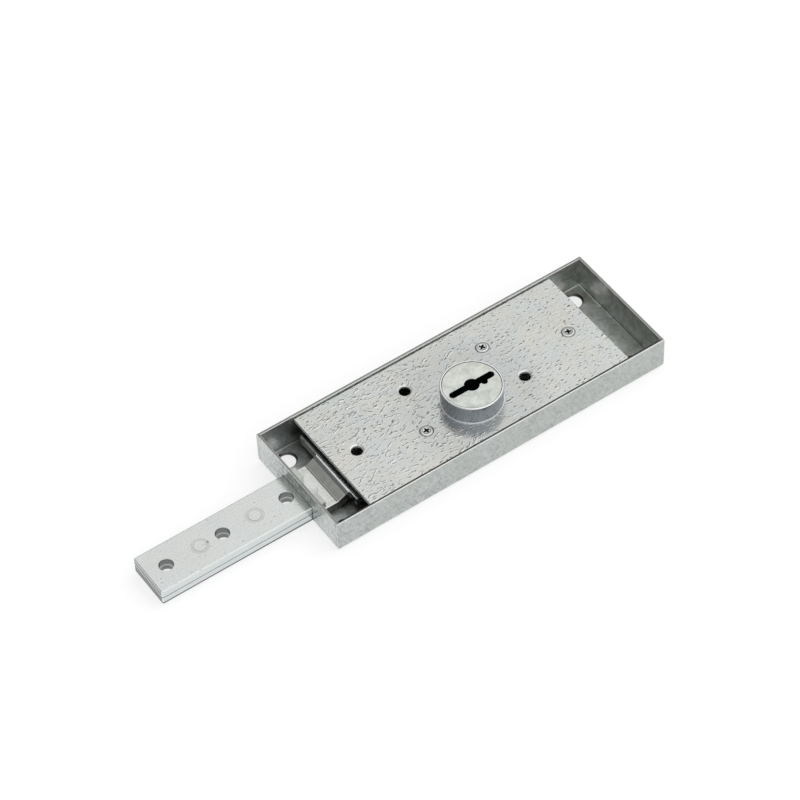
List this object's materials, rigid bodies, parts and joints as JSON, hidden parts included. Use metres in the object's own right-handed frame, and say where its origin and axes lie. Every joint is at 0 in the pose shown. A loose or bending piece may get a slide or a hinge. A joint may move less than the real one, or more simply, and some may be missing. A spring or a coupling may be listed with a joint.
{
  "type": "roller shutter lock",
  "caption": "Surface-mounted steel shutter lock: shallow tray case, round double-bit key barrel and a flat drilled bolt bar that slides out of one end.",
  "frame": {"origin": "centre of the case's back face", "axes": "+X along the case, away from the end where the bolt leaves; +Y across it; +Z out of the cover, along the key barrel"},
  "size_m": [0.2226, 0.055, 0.0233],
  "materials": {
    "galvanised_case": "galvanised sheet, mottled and slightly dull",
    "galvanised_cover": "bright galvanised sheet with fine crinkled spangle",
    "zinc_bolt": "zinc-plated flat bar, satin",
    "zinc_barrel": "turned and zinc plated, faint blue passivation",
    "nickel_drum": "faced and lapped, warm satin",
    "zinc_screw": "zinc-plated screw",
    "turned_steel": "turned bright steel",
    "sintered_bush": "oiled bearing bronze",
    "lever_steel": "blanked sheet steel",
    "spring_steel": "blued spring strip"
  },
  "bodies": {
    "case": {"case_tray": "galvanised_case", "cover_plate": "galvanised_cover", "cover_screws": "zinc_screw", "barrel_sleeve": "zinc_barrel", "floor_bush": "sintered_bush", "lever_pivot": "turned_steel", "distance_pillar": "turned_steel", "tail_pillar": "turned_steel", "tail_bush": "sintered_bush", "pivot_collar": "turned_steel", "spring_post": "turned_steel"},
    "bolt": {"bolt_carrier": "zinc_bolt", "upper_bar": "zinc_bolt", "bar_rivets": "zinc_bolt", "bar_stud": "zinc_bolt", "bolt_stump": "turned_steel"},
    "rotor": {"rotor_drum": "nickel_drum", "rotor_spindle": "turned_steel", "guard_pins": "turned_steel"},
    "lever_pack": {"lever_1": "lever_steel", "lever_2": "lever_steel", "lever_3": "lever_steel", "lever_4": "lever_steel", "lever_shims": "spring_steel", "lever_springs": "spring_steel"}
  },
  "joints": [
    {"name": "bolt_draw", "type": "slide", "parent": "case", "child": "bolt", "axis": [1, 0, 0], "range_m": [0, 0.02011]},
    {"name": "key_turn", "type": "hinge", "parent": "case", "child": "rotor", "pos_m": [0, -0.0065, 0.012], "axis": [0, 0, 1], "range_deg": [-360, 0]},
    {"name": "lever_lift", "type": "hinge", "parent": "case", "child": "lever_pack", "pos_m": [0.0185, 0.0125, 0.01], "axis": [0, 0, 1], "range_deg": [-4, 0], "deforming": ["lever_springs"]}
  ],
  "couplings": [
    {"joint": "key_turn", "follows": "bolt_draw", "rad_per_m": -312.5},
    {"joint": "lever_lift", "follows": "bolt_draw", "rad_per_m": -3.4722}
  ]
}
